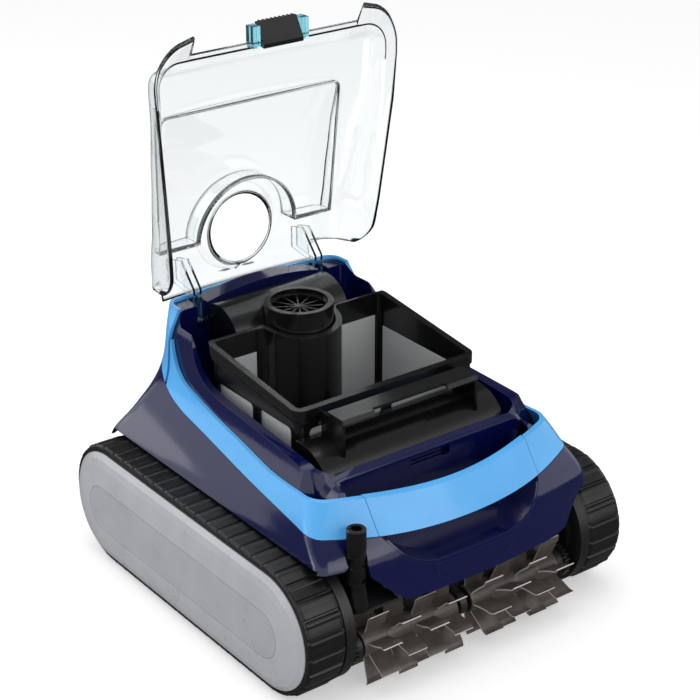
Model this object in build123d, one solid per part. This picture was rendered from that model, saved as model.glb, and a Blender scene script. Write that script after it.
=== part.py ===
"""Tracked robotic pool cleaner: hull, hinged clear lid, lift-out canister, tracks and twin brush.

Millimetres, +Z up, -Y is the front (brush end), X runs across. Shapes are worked out about the
middle of the wheelbase, and every file is written about the centre of the whole machine's footprint.
The lid stands open, which is the rest position; its shape is worked out shut and then turned up.
"""
from build123d import *
from math import atan2, cos, pi, sin, sqrt
import os

# ---------------------------------------------------------------- tracks and wheels
half_width = 200.0          # middle plane to the tread's outer edge
tread_width = 43.4
wheelbase = 295.2           # front axle to rear axle
tread_radius = 66.0         # outside of the belt between lugs
lug_height = 2.9
lug_length = 6.0            # along the direction of travel
lug_inset = 1.0             # plain rim left at each edge of the tread
belt_thickness = 5.0
lugs_per_run = 15
lugs_per_bend = 11
wheel_gap = 0.35            # wheel rim to the inside of its belt
rim_thickness = 6.0
web_thickness = 6.0
hub_radius = 14.0
flange_width = 11.5         # inner flange of a wheel, beside the belt
flange_drop = 1.6           # flange below the lug tips
flange_recess = 3.0         # depth of the ring sunk in the flange's face
axle_radius = 6.0
axle_gap = 0.05             # running fit on the axle and in the bushes
side_gap = 0.4              # between parts that lie side by side
# ---------------------------------------------------------------- side covers
cover_thickness = 3.0
cover_gap = 0.2             # cover beyond the tread's outer edge
cover_crown = 9.0           # bulge of the cover beyond the tread
cover_edge_drop = 4.6       # tread outside radius over cover radius
inlay_radius = 25.8
inlay_thickness = 1.6
# ---------------------------------------------------------------- hull and side frames
wall = 3.0
hull_half = 122.0           # half width of the lower hull
hull_floor = 24.0           # ground clearance
hull_front = 138.0          # lower hull's front wall, ahead of the middle of the wheelbase
hull_rear = 182.0
hull_chamfer = 34.0         # slope between the floor and the end walls
hull_top = 150.0
frame_standoff = 4.5        # side frame's plate off the hull
frame_thickness = 7.0
frame_radius = 24.0         # side frame round each axle
# ---------------------------------------------------------------- outer body
lip_half = 170.0            # fender lips, middle plane to edge
fender_gap = 3.2            # fender lip over the track
skirt_drop = 49.0           # skirt's lowest edge under the fender lips
belt_wall = 4.0             # thickness of the light belt
handle_wall = 5.0           # thickness of the carrying handle
seam_half = 101.0           # joints between the belt and the carrying handle
seam_gap = 0.5
coaming_inset = 4.4         # coaming inside the lid's outer face
bay_front = 134.5           # front wall of the canister bay, ahead of the middle
bay_rear = 141.0
bay_half = 124.0            # half width of the bay at its front wall
bay_taper = 10.0            # what the half width loses by the rear wall
bay_radius = 16.0
tray_z = 106.0              # underside of the tray that floors the bay
recess_rear = 143.5         # rear wall of the finger space, ahead of the middle
recess_half = 112.0
recess_floor = 124.0
ridge_height = 284.0        # crown of the hinge ridge
ridge_crown = 20.0          # what the ridge loses by its ends
ridge_half = 112.0
ridge_depth = 20.0
# ---------------------------------------------------------------- pump and outlet
outlet_y = 76.7
outlet_top = 281.0
outlet_radius = 36.7
outlet_bore = 31.0
grille_spokes = 12
grille_drop = 6.0           # grille below the outlet's lip
impeller_blades = 5
impeller_gap = 1.5          # blade tips to the outlet bore
shaft_radius = 4.0
dome_y = 122.0
dome_z = 240.0
dome_radius = 38.0
dome_half = 71.5
motor_radius = 26.0
# ---------------------------------------------------------------- canister
slide_gap = 1.0             # canister to what it slides past
canister_half = 110.0
canister_front = 74.0
canister_rear = 80.0
canister_bottom = 112.0
canister_wall = 2.5
rim_front_z = 245.5
rim_rear_z = 262.5
rim_height = 10.0
rim_overhang = 4.0
rim_round = 3.0             # rounding of the rim's upper outer edge
ledge_overhang = 2.2        # second, thinner ledge under the rim
ledge_low = 17.0            # underside of the ledge below the rim's top
ledge_high = 14.5
canister_corner = 7.0       # upright corners of the canister
notch_radius = 42.7         # bay in the canister's rear wall for the outlet
notch_round = 10.0          # where that bay runs out into the rear wall
window_radius = 5.0         # corners of the mesh windows
drum_y = 83.0               # round front of the canister, ahead of the middle
drum_z = 166.0
drum_radius = 49.0
grip_half = 85.0
grip_z = 243.0
grip_front = 113.0
grip_rear = 88.0
grip_thickness = 3.0
inlet_half = 45.0
inlet_front = 50.0
inlet_rear = 20.0
flap_thickness = 2.0
mesh_thickness = 0.8
# ---------------------------------------------------------------- lid
lid_wall = 3.0
lid_gap = 1.2               # lid's lower edge over the belt
lid_clearance = 1.0         # lid's inside to what it shuts over
hinge_y = 155.0
hinge_z = 251.0
lid_open = 91.0             # turn from shut to standing open
hinge_x = 79.0              # middle of each hinge
hinge_pin_radius = 3.0
hinge_pin_gap = 0.08
hinge_slot_half = 6.5      # half width of the slot that each hinge's arms turn in
rib_spacing = 8.0           # between the two ribs of a hinge
rib_thickness = 2.5
latch_half = 24.0
latch_y = -149.5            # latch pivot on the shut lid
latch_z = 199.0
# ---------------------------------------------------------------- brush
brush_ahead = 41.4          # brush axis ahead of the front axle
brush_z = 44.0
brush_radius = 43.0
brush_half = 125.0
core_radius = 13.0
blade_thickness = 2.0
blades_around = 8
blade_groups = 4
blade_width = 26.0
sleeve_thickness = 2.0
bearing_half = 4.0          # centre bearing's half thickness
gear_width = 6.0
gear_teeth = 40
pinion_teeth = 20
# ---------------------------------------------------------------- cable gland
gland_x = -130.0
gland_y = -194.5
gland_top = 178.0
gland_radius = 9.8
gland_flange = 3.0          # foot of the gland beyond its head
gland_bore = 5.5
shelf_z = 88.5

axle_z = tread_radius + lug_height
front_y = -wheelbase / 2
rear_y = wheelbase / 2
brush_y = front_y - brush_ahead
tread_inner = half_width - tread_width
rim_radius = tread_radius - belt_thickness - wheel_gap
rim_outer_x = half_width - wall - side_gap
frame_inner = hull_half + frame_standoff
frame_outer = frame_inner + frame_thickness
gear_inner = frame_outer + side_gap
lip_z = 2 * axle_z + fender_gap
skirt_z = lip_z - skirt_drop
front_reach = brush_radius - brush_y
rear_reach = rear_y + axle_z
origin_y = (rear_reach - front_reach) / 2


def save(node, shape):
    """Write one node about the centre of the footprint."""
    shape = Pos(0, -origin_y, 0) * shape
    shape.label = node
    export_step(shape, f"parts/{node}.step")


def both_sides(name, shape):
    """Save a left (-X) piece and its mirror image on the right."""
    save(f"left_{name}", shape)
    save(f"right_{name}", mirror(shape, about=Plane.YZ))


# ---------------------------------------------------------------- plain shapes
def cuboid(x, y, z):
    """Box from its low and high values on each axis."""
    middle = Pos((x[0] + x[1]) / 2, (y[0] + y[1]) / 2, (z[0] + z[1]) / 2)
    return middle * Box(x[1] - x[0], y[1] - y[0], z[1] - z[0])


def rod(radius, x_from, x_to, y, z):
    """Round bar along X."""
    return Pos((x_from + x_to) / 2, y, z) * Rot(0, 90, 0) * Cylinder(radius, abs(x_to - x_from))


def post(radius, x, y, z_from, z_to):
    """Round bar along Z."""
    return Pos(x, y, (z_from + z_to) / 2) * Cylinder(radius, z_to - z_from)


def track_block(radius, x_from, x_to):
    """Block shaped like the track, round both axles."""
    ends = [Pos(y, axle_z) * Circle(radius) for y in (front_y, rear_y)]
    outline = Pos(0, axle_z) * Rectangle(wheelbase, 2 * radius) + ends
    return Pos(x_from, 0, 0) * extrude(Plane.YZ * outline, x_to - x_from)


def side_plate(points, x_from, x_to):
    """Plate drawn in side view (y, z), carried along X."""
    outline = Polyline(*[(x_from, y, z) for y, z in points], close=True)
    return extrude(Face(Wire(outline.edges())), x_to - x_from, dir=(1, 0, 0))


def front_plate(points, y_from, y_to):
    """Plate drawn in front view (x, z), carried along Y."""
    outline = Polyline(*[(x, y_from, z) for x, z in points], close=True)
    return extrude(Face(Wire(outline.edges())), y_to - y_from, dir=(0, 1, 0))


# ---------------------------------------------------------------- flare of the body
# height over the fender lips: what the half width loses at the front and rear corners, how far the
# front edge lies ahead of the middle and its bow, how far the rear edge lies behind, corner radius.
# Half widths are read 150 mm ahead of and behind the middle of the wheelbase; a bow is the amount
# that an end falls back 100 mm off the middle plane.
flare_stations = {
    -53.0: (0.0, 0.0, 223.0, 8.0, 206.0, 12.0),
    -23.0: (0.0, 0.0, 217.0, 8.0, 206.0, 12.0),
    0.0: (0.0, 0.0, 211.5, 8.0, 203.0, 13.0),
    14.0: (4.5, 12.0, 206.0, 11.0, 196.0, 16.0),
    24.0: (8.0, 20.0, 200.0, 13.0, 192.0, 18.0),
    34.0: (12.0, 27.0, 193.0, 13.0, 188.0, 20.0),
    44.0: (16.5, 33.0, 186.0, 13.0, 184.0, 22.0),
    59.0: (24.0, 40.0, 176.0, 13.0, 179.0, 24.0),
    74.0: (30.0, 44.0, 167.0, 13.0, 175.0, 26.0),
    109.0: (37.0, 47.5, 143.0, 13.0, 170.0, 28.0),
    153.0: (44.0, 51.0, 110.0, 13.0, 167.0, 30.0),
}
rear_bow = 6.0


def flare_outline(height, inset):
    """Rounded plan outline of the body at one height, moved inwards by a wall."""
    front_loss, rear_loss, front, front_bow, rear, radius = flare_stations[height]
    front_half = lip_half - front_loss
    rear_half = lip_half - rear_loss

    def half_at(y):
        return front_half + (rear_half - front_half) * (y + 150) / 300

    front_side = front_bow * (front_half / 100) ** 2 - front
    rear_side = rear - rear_bow * (rear_half / 100) ** 2
    x_front = half_at(front_side + inset) - inset
    x_rear = half_at(rear_side - inset) - inset
    front_left, front_right = (-x_front, front_side + inset), (x_front, front_side + inset)
    rear_left, rear_right = (-x_rear, rear_side - inset), (x_rear, rear_side - inset)
    outline = Wire([
        Edge.make_three_point_arc((*front_left, 0), (0, inset - front, 0), (*front_right, 0)),
        Edge.make_line((*front_right, 0), (*rear_right, 0)),
        Edge.make_three_point_arc((*rear_right, 0), (0, rear - inset, 0), (*rear_left, 0)),
        Edge.make_line((*rear_left, 0), (*front_left, 0)),
    ])
    face = Face(outline)
    rounded = face.fillet_2d(max(radius - inset, 2.0), face.vertices())
    return Pos(0, 0, lip_z + height) * rounded


def flare(inset):
    """Solid inside the body's outer surface, less a wall."""
    return loft([flare_outline(height, inset) for height in flare_stations])


# ---------------------------------------------------------------- lines of the body in side view
# (y, height over the fender lips), front to rear
belt_low = [(-240, 9), (-206, 13.5), (-180, 20), (-150, 24.5), (-85, 30), (0, 37.5), (60, 43),
            (100, 47), (128, 54), (146, 65), (156, 83), (163, 102), (180, 109), (240, 110)]
belt_high = [(-240, 35), (-186, 44), (-168, 48.5), (-150, 50.5), (-104, 49.8), (-70, 50.3),
             (-35, 53.5), (17, 58), (55, 62), (87, 66.8), (109, 72), (123, 83), (131, 99), (137, 112)]
crest = [(-240, 43), (-176, 51), (-142, 58), (-130, 64), (-100, 69), (-50, 72), (20, 74), (60, 78),
         (80, 86), (92, 99), (102, 115), (112, 126), (130, 132), (160, 134), (240, 134)]
belt_end = 134.5            # side belts end here, behind the middle
rear_band_start = 138.5
rear_band_top = 137.0       # over the fender lips


def under_curve(line, shift=0.0):
    """Everything under a curve drawn in side view, carried across the machine."""
    top = Spline(*[(0, y, lip_z + z + shift) for y, z in line])
    start, end = (line[0][0], lip_z + line[0][1] + shift), (line[-1][0], lip_z + line[-1][1] + shift)
    rest = Polyline((0, *end), (0, end[0], -60), (0, start[0], -60), (0, *start))
    face = Face(Wire([*top.edges(), *rest.edges()]))
    return extrude(face, 320, dir=(1, 0, 0), both=True)


# ---------------------------------------------------------------- lid's outer surface, shut
# (y, height of the crown over the fender lips, fall of the crown at half_at, half_at, shoulder)
lid_sections = [
    (-240.0, 66.0, 7.0, 112.0, 24.0),
    (-146.0, 67.5, 7.0, 112.0, 24.0),
    (-137.0, 70.0, 7.0, 112.0, 24.0),
    (-122.0, 109.0, 5.5, 108.0, 26.0),
    (-75.0, 118.5, 5.0, 106.0, 26.0),
    (-30.0, 134.0, 5.0, 98.0, 32.0),
    (20.0, 145.0, 5.0, 96.0, 32.0),
    (75.0, 153.0, 5.0, 95.0, 32.0),
    (118.0, 154.0, 5.0, 95.0, 32.0),
    (170.0, 147.0, 5.0, 95.0, 32.0),
]
section_foot = 60.0         # sections are closed this far above the ground


def lid_section(y, crown, fall, half, shoulder, inset):
    """Section across the space under the lid, its roof lowered by an inset."""
    top = lip_z + crown - inset
    edge = top - fall
    side = half + shoulder - inset
    low = edge - shoulder
    foot = side + low - section_foot
    outline = Wire([
        Edge.make_line((-foot, y, section_foot), (-side, y, low)),
        Edge.make_three_point_arc((-side, y, low), (-side + 0.3 * shoulder, y, low + 0.7 * shoulder),
                                  (-half, y, edge)),
        Edge.make_three_point_arc((-half, y, edge), (0, y, top), (half, y, edge)),
        Edge.make_three_point_arc((half, y, edge), (side - 0.3 * shoulder, y, low + 0.7 * shoulder),
                                  (side, y, low)),
        Edge.make_line((side, y, low), (foot, y, section_foot)),
        Edge.make_line((foot, y, section_foot), (-foot, y, section_foot)),
    ])
    return Face(outline)


def under_lid(inset):
    """Space under the shut lid's outer surface, less a wall and a clearance.

    The steep panel at the front keeps its wall because the space also moves back.
    """
    space = loft([lid_section(*section, inset) for section in lid_sections], ruled=True)
    return Pos(0, 0.6 * inset, 0) * space


def shut_to_open(shape):
    """Turn a piece that was worked out on the shut lid to where it stands open."""
    hinge = Axis((0, hinge_y, hinge_z), (1, 0, 0))
    return shape.rotate(hinge, -lid_open)


def rim_z(y):
    """Height of the canister's sloping rim."""
    slope = (rim_rear_z - rim_front_z) / (canister_front + canister_rear)
    return rim_front_z + slope * (y + canister_front)


def bay(grow):
    """Opening over the canister, wider at the front, with rounded corners."""
    front, rear = -bay_front - grow, bay_rear + grow
    rear_half = bay_half - bay_taper + grow
    corners = [(-bay_half - grow, front), (bay_half + grow, front), (rear_half, rear), (-rear_half, rear)]
    face = Face(Wire(Polyline(*[(x, y, 0) for x, y in corners], close=True).edges()))
    rounded = face.fillet_2d(bay_radius + grow, face.vertices())
    return Pos(0, 0, tray_z - 20) * extrude(rounded, 260)


def gland_space():
    """Hollow in the body round the cable gland."""
    foot = post(gland_radius + gland_flange + 1, gland_x, gland_y, 0, shelf_z + 30)
    return foot + post(gland_radius + 1, gland_x, gland_y, 0, gland_top + 20)


# ---------------------------------------------------------------- outer body pieces
def belts(body, inner):
    """Light belt's side pieces, its rear band and the carrying handle at its front."""
    handle_box = cuboid((-seam_half, seam_half), (-260, -150), (lip_z, lip_z + 90))
    handle_space = cuboid((-seam_half - seam_gap, seam_half + seam_gap), (-260, -150), (lip_z, lip_z + 90))
    low, high = under_curve(belt_low), under_curve(belt_high)
    sides = ((body - inner) & high) - low - handle_space
    side = sides & cuboid((-260, 0), (-260, belt_end), (0, hinge_z))
    rear = ((body - inner) - low) & cuboid((-260, 260), (rear_band_start, 260), (0, lip_z + rear_band_top))
    handle = (((body - flare(handle_wall)) & high) - low) & handle_box
    save("left_accent_belt", side - gland_space())
    save("right_accent_belt", mirror(side, about=Plane.YZ))
    save("rear_band", rear)
    save("front_handle", handle)


def recess_volume(grow):
    """Finger space behind and under the carrying handle."""
    rear, floor = grow - recess_rear, recess_floor - grow
    side = Face(Wire([
        *Spline((0, rear, 175), (0, rear - 10, 143 - grow), (0, -180, floor + 2), (0, -212, floor - 1)).edges(),
        *Polyline((0, -212, floor - 1), (0, -260, floor - 1), (0, -260, 250), (0, rear, 250),
                  (0, rear, 175)).edges(),
    ]))
    half, low = recess_half + grow, floor - 2
    right = [(40, low), (73 + grow, 132), (96 + grow, 157), (half, 185)]
    left = [(-x, z) for x, z in reversed(right)]
    outline = Wire([
        *Spline(*[(x, 0, z) for x, z in [*left, *right]]).edges(),
        *Polyline((half, 0, 185), (half, 0, 250), (-half, 0, 250), (-half, 0, 185)).edges(),
    ])
    bowl = extrude(Face(outline), 260, dir=(0, 1, 0), both=True)
    return extrude(side, 260, dir=(1, 0, 0), both=True) & bowl


def skirt_space():
    """What lies below the skirt, the fenders and the rear apron."""
    right = [(106, skirt_z + 2), (124.6, skirt_z + 5), (150, lip_z - 21), (160, lip_z - 15),
             (168, lip_z - 8), (260, lip_z - 1)]
    left = [(-x, z) for x, z in reversed(right)]
    front = front_plate([(-260, 0), *left, *right, (260, 0)], -260, -100)
    sides = cuboid((-300, 300), (front_y - 38, rear_y + 37), (0, lip_z - 1))
    apron = [(-300, 0), (-300, lip_z - 9), (-146, lip_z - 9), (-136, lip_z - 32), (136, lip_z - 32),
             (146, lip_z - 9), (300, lip_z - 9), (300, 0)]
    return front + sides + front_plate(apron, rear_y + 36, 260)


def cover_volume(grow):
    """Block behind the small lower cover of the skirt."""
    half, low = 52.0 + grow, skirt_z + 12 - grow
    top = skirt_z + 58
    outline = Polyline((-half, 0, top), (-half, 0, low), (half, 0, low), (half, 0, top), close=True)
    face = Face(Wire(outline.edges()))
    lower = [corner for corner in face.vertices() if corner.Z < low + 1]
    return extrude(face.fillet_2d(17 + grow, lower), 110, dir=(0, -1, 0)).moved(Location((0, -150, 0)))


def shell_pieces(body):
    """Dark outer shell under the belt, and the small cover in its skirt."""
    skin = (body - flare(wall)) & under_curve(belt_low, -side_gap)
    skin = skin - skirt_space() - recess_volume(wall + side_gap) - gland_space()
    notch = [(-86, 60), (-88, skirt_z + 4), (-98, lip_z - 37), (-119.5, lip_z - 16), (-121.5, lip_z),
             (-138.5, lip_z), (-145, lip_z - 4.5), (-180, lip_z - 4.5), (-180, 60)]
    skin = skin - front_plate(notch, -260, -150)
    save("body_shell", skin - cover_volume(seam_gap))
    save("front_cover", skin & cover_volume(0))


def ridge_block(drop, half):
    """Crowned block across the back of the deck, for its outside or its hollow."""
    end_z = ridge_height - ridge_crown - drop
    peak = Edge.make_three_point_arc((-half, 0, end_z), (0, 0, ridge_height - drop), (half, 0, end_z))
    base = Polyline((half, 0, end_z), (half, 0, hinge_z - 12), (-half, 0, hinge_z - 12), (-half, 0, end_z))
    face = Face(Wire([peak, *base.edges()]))
    return extrude(face, ridge_depth, dir=(0, 1, 0)).moved(Location((0, bay_rear, 0)))


def hinge_rods(gap):
    """The two hinge pins, or with a gap their bores."""
    reach = hinge_slot_half + 3.5 + gap
    return Compound([
        rod(hinge_pin_radius + gap, x - reach, x + reach, hinge_y, hinge_z) for x in (-hinge_x, hinge_x)
    ])


def hinge_ridge():
    """Hollow ridge that carries the lid, solid beside each hinge."""
    core = Pos(0, wall, -side_gap) * ridge_block(wall, ridge_half - wall)
    core = core & cuboid((-300, 300), (0, hinge_y + 3), (0, 400))
    bosses = Compound([
        cuboid((x - hinge_slot_half - 4, x + hinge_slot_half + 4), (0, 300), (0, 400))
        for x in (-hinge_x, hinge_x)
    ])
    return (ridge_block(0, ridge_half) & flare(coaming_inset)) - (core - bosses)


def deck_pieces():
    """Coaming and deck round the canister bay, the liner of the finger space and the hinge ridge."""
    lid_space = under_lid(lid_wall + lid_clearance)
    above_hull = cuboid((-300, 300), (-300, 300), (hull_top, 400))
    catch = cuboid((-latch_half - 1, latch_half + 1), (-recess_rear - 1, -recess_rear + 7),
                   (latch_z - 13, latch_z - 3))
    slots = Compound([
        cuboid((x - hinge_slot_half, x + hinge_slot_half), (bay_rear - 9, hinge_y + 8),
               (hinge_z - 8.5, 320))
        for x in (-hinge_x, hinge_x)
    ])
    block = (flare(coaming_inset) & under_curve(crest) & lid_space & above_hull) - gland_space()
    hollow = flare(coaming_inset + wall) & under_curve(crest, -wall)
    hollow = (hollow & under_lid(lid_wall + lid_clearance + wall)) - bay(wall)
    deck = block - bay(0) - hollow - recess_volume(wall + side_gap)
    save("top_deck", (deck + hinge_ridge()) - slots - hinge_rods(hinge_pin_gap) - catch)

    liner = (recess_volume(wall) - recess_volume(0)) & flare(side_gap)
    liner = liner - cuboid((-300, 300), (-300, -recess_rear - 4), (lip_z + 12.6, 400))
    liner = liner & under_curve(crest) & lid_space
    save("handle_recess", liner - catch)
    save("hinge_pins", hinge_rods(0))


# ---------------------------------------------------------------- lid
def lid_pieces(body):
    """Clear lid with its outlet ring, canister rib and hinge arms, and the latch under its lip."""
    shell = (body & under_lid(0)) - (flare(lid_wall) & under_lid(lid_wall))
    shell = shell - under_curve(belt_high, lid_gap)
    mouth = cuboid((-seam_half - 2.3, seam_half + 2.3), (-260, -150), (0, 260)) & under_lid(lid_wall)
    rear = cuboid((-300, 300), (140, 300), (0, 400))
    flanks = cuboid((-300, -98), (118, 300), (0, 400)) + cuboid((98, 300), (118, 300), (0, 400))
    shell = shell - mouth - rear - flanks

    hole = outlet_radius + slide_gap
    dish_low, dish_high = outlet_top - 1.5, 330.0
    slant = 0.85
    wide = hole + slant * (dish_high - dish_low)
    at_dish = Pos(0, outlet_y, (dish_low + dish_high) / 2)
    dish = at_dish * Cone(hole, wide, dish_high - dish_low)
    dish_wall = at_dish * Cone(hole + lid_wall, wide + lid_wall, dish_high - dish_low)
    ring = (dish_wall & under_lid(0)) - dish

    front, back = -canister_front, outlet_y
    rib_line = [(-canister_half - 2, front), (canister_half + 2, front), (canister_half - 1, back),
                (-canister_half + 1, back)]
    outline = Face(Wire(Polyline(*[(x, y, 0) for x, y in rib_line], close=True).edges()))
    front_corners = [corner for corner in outline.vertices() if corner.Y < front + 1]
    outer = outline.fillet_2d(8, front_corners) - Pos(0, outlet_y, 0) * Circle(62)
    inner = offset(outer, -2.5)
    rib = Pos(0, 0, 200) * (extrude(outer, 120) - extrude(inner, 120))
    rib = (rib & under_lid(lid_wall - 0.5)) - under_rim(-lid_gap)

    arm = [(hinge_y, hinge_z - 5), (118, hinge_z - 6), (91, hinge_z + 17), (99, hinge_z + 50),
           (120, hinge_z + 50), (126, hinge_z + 4), (hinge_y, hinge_z + 4)]
    arms = []
    for middle in (-hinge_x, hinge_x):
        for x in (middle - rib_spacing / 2, middle + rib_spacing / 2):
            low, high = x - rib_thickness / 2, x + rib_thickness / 2
            plate = side_plate(arm, low, high) & under_lid(lid_wall - 0.5)
            knuckle = rod(5, low, high, hinge_y, hinge_z)
            bore = rod(hinge_pin_radius + hinge_pin_gap, low - 1, high + 1, hinge_y, hinge_z)
            arms.append(plate + knuckle - bore)
    lid = (shell - dish_wall) + ring + rib
    for arm_plate in arms:
        lid = lid + arm_plate
    save("lid", shut_to_open(lid))

    lip_space = Pos(0, 0, -side_gap) * under_lid(lid_wall)
    cheeks = cuboid((-latch_half - 10, -latch_half - 1), (latch_y - 18, latch_y + 4),
                    (latch_z - 7, latch_z + 20))
    cheeks = cheeks + mirror(cheeks, about=Plane.YZ)
    housing = (cheeks & lip_space) + rod(2, -latch_half - 2, latch_half + 2, latch_y, latch_z)
    save("latch_housing", shut_to_open(housing))
    lever = [(latch_y - 20, latch_z + 4), (latch_y - 20, latch_z), (latch_y - 5, latch_z - 8.5),
             (latch_y, latch_z - 11.5), (latch_y + 4.5, latch_z - 11.5), (latch_y + 4.5, latch_z - 7.5),
             (latch_y + 2, latch_z - 6), (latch_y + 3, latch_z + 4)]
    latch = side_plate(lever, -latch_half, latch_half)
    latch = latch - rod(2.05, -latch_half - 1, latch_half + 1, latch_y, latch_z)
    ribs = Compound([
        cuboid((x - 1, x + 1), (latch_y - 21, latch_y - 20), (latch_z, latch_z + 4))
        for x in range(-20, 21, 5)
    ])
    save("lid_latch", shut_to_open(latch + ribs))


# ---------------------------------------------------------------- tracks, wheels and covers
def track_belt():
    """Rubber belt round both wheels, with a bar at every pitch."""
    outer = -half_width + tread_width
    belt = track_block(tread_radius, -half_width, outer)
    reach = tread_radius + lug_height
    middle = tread_radius - 1 + (lug_height + 1) / 2
    bars = []
    for index in range(lugs_per_run):
        y = (index - (lugs_per_run - 1) / 2) * wheelbase / lugs_per_run
        for side in (-1, 1):
            bars.append(Pos(y, axle_z + side * middle) * Rectangle(lug_length, lug_height + 1))
    for index in range(lugs_per_bend):
        turn = (index + 0.5) * 180 / lugs_per_bend
        for end, start in ((rear_y, -90), (front_y, 90)):
            bars.append(Pos(end, axle_z) * Rot(0, 0, start + turn) * Pos(middle, 0)
                        * Rectangle(lug_height + 1, lug_length))
    lugs = Plane.YZ * (Sketch() + bars)
    lugs = Pos(-half_width + lug_inset, 0, 0) * extrude(lugs, tread_width - 2 * lug_inset)
    ends = [rod(reach, -half_width, outer, y, axle_z) for y in (front_y, rear_y)]
    round_off = cuboid((-300, 0), (front_y, rear_y), (0, 2 * axle_z)) + ends
    belt = belt + (lugs & round_off)
    return belt - track_block(tread_radius - belt_thickness, -half_width - 1, outer + 1)


def wheel(y):
    """Belt wheel: hub, web, rim and the wide flange on its inner side."""
    outer, inner = -rim_outer_x, side_gap - tread_inner
    flange_radius = axle_z - flange_drop
    body = rod(rim_radius, outer, inner, y, axle_z)
    body = body - rod(rim_radius - rim_thickness, outer - 1, inner - web_thickness, y, axle_z)
    body = body + rod(hub_radius, outer, -gear_inner - gear_width, y, axle_z)
    flange = rod(flange_radius, inner, inner + flange_width, y, axle_z)
    face = inner + flange_width
    sunk = rod(flange_radius - 7, face - flange_recess, face + 1, y, axle_z)
    sunk = sunk - rod(flange_radius - 21, face - 20, face + 2, y, axle_z)
    dish = rod(flange_radius - 25, face - 1.5, face + 1, y, axle_z)
    dish = dish - rod(hub_radius, face - 20, face + 2, y, axle_z)
    body = body + (flange - sunk - dish)
    return body - rod(axle_radius + axle_gap, -half_width - 1, 0, y, axle_z)


def axle(y):
    """Fixed axle from the side frame to the boss of the side cover."""
    return rod(axle_radius, -half_width - cover_gap - 2, -frame_inner, y, axle_z)


def cover_shape(radius, outset):
    """Crowned lid shape of the side cover, its rim radius and offset given."""
    steps = [(0.0, 0.12), (5.5, 0.55), (13.0, 0.80), (24.0, 0.93), (35.5, 1.0)]
    base = half_width + cover_gap - outset
    solid = track_block(radius, -base - cover_crown * steps[0][1], -base)
    faces = []
    for shrink, rise in steps:
        ring = track_section(radius - shrink)
        faces.append(Pos(-base - cover_crown * rise, 0, 0) * ring)
    return solid + loft(faces, ruled=True)


def track_section(radius):
    """Flat section of the track's shape round both axles."""
    ends = [Pos(y, axle_z) * Circle(radius) for y in (front_y, rear_y)]
    return (Plane.YZ * (Pos(0, axle_z) * Rectangle(wheelbase, 2 * radius) + ends)).face()


def side_cover():
    """Crowned cover over the wheels, with bosses for the axles and a place for the inlay."""
    radius = tread_radius - cover_edge_drop
    shell = cover_shape(radius, 0) - cover_shape(radius - cover_thickness, cover_thickness)
    face = -half_width - cover_gap - cover_crown
    pocket = track_block(inlay_radius, face - 1, face + inlay_thickness)
    back = track_block(inlay_radius + wall, face + inlay_thickness, face + inlay_thickness + 2)
    shell = (shell + back) - pocket
    for y in (front_y, rear_y):
        boss = rod(axle_radius + 4, face + inlay_thickness, -rim_outer_x - side_gap, y, axle_z)
        bore = rod(axle_radius + axle_gap, -half_width - cover_gap - 2.3, 0, y, axle_z)
        shell = (shell + boss) - bore
    return shell


def side_inlay():
    """Flush plate in the middle of the side cover."""
    face = -half_width - cover_gap - cover_crown
    return track_block(inlay_radius - 0.2, face, face + inlay_thickness)


# ---------------------------------------------------------------- gears
def gear_blank(teeth, width, phase):
    """Gear about the origin in side view, its teeth narrowed for running clearance."""
    pitch_radius = gear_module() * teeth / 2
    root = pitch_radius - 1.15 * gear_module()
    tip = pitch_radius + 0.75 * gear_module()
    outline = []
    for index in range(teeth):
        middle = phase + index * 2 * pi / teeth
        for radius, share in ((root, -0.31), (pitch_radius, -0.215), (tip, -0.11), (tip, 0.11),
                              (pitch_radius, 0.215), (root, 0.31)):
            turn = middle + share * 2 * pi / teeth
            outline.append((radius * cos(turn), radius * sin(turn)))
    face = Plane.YZ * make_face(Polyline(*outline, close=True))
    return extrude(face, width)


def gear_module():
    """Module that fills the distance from the front axle to the brush."""
    distance = sqrt(brush_ahead ** 2 + (axle_z - brush_z) ** 2)
    return 2 * distance / (gear_teeth + pinion_teeth)


# ---------------------------------------------------------------- brush
def brush_core():
    """Core of one brush half with its shaft ends."""
    core = rod(core_radius, -brush_half, -bearing_half - 5, brush_y, brush_z)
    return core + rod(axle_radius, -gear_inner - gear_width, -bearing_half + 3.5, brush_y, brush_z)


def brush_blades():
    """Soft sleeve with its groups of paddles."""
    inner, outer = bearing_half + 5, brush_half
    sleeve_radius = core_radius + sleeve_thickness
    pitch = (outer - inner) / blade_groups
    blade = brush_radius - core_radius - 1
    sleeve = rod(sleeve_radius, -outer, -inner, brush_y, brush_z)
    paddles = []
    for group in range(blade_groups):
        x = -inner - (group + 0.5) * pitch
        for index in range(blades_around):
            paddle = Pos(x, -core_radius - 1 - blade / 2, 0) * Box(blade_width, blade, blade_thickness)
            turn = (index + group % 2 / 2) * 360 / blades_around
            paddles.append(Pos(0, brush_y, brush_z) * Rot(turn, 0, 0) * paddle)
    sleeve = sleeve + paddles
    return sleeve - rod(core_radius + axle_gap, -outer - 1, -inner + 1, brush_y, brush_z)


def brush_gear():
    """Small gear on the end of the brush, driven by the front wheel."""
    gear = Pos(-gear_inner - gear_width, brush_y, brush_z) * gear_blank(pinion_teeth, gear_width,
                                                                       brush_gear_phase())
    return gear - rod(axle_radius + axle_gap, -300, 0, brush_y, brush_z)


def drive_gear():
    """Large gear on the inner side of the front wheel."""
    gear = Pos(-gear_inner - gear_width, front_y, axle_z) * gear_blank(gear_teeth, gear_width, 0.0)
    return gear - rod(axle_radius + axle_gap, -300, 0, front_y, axle_z)


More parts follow.
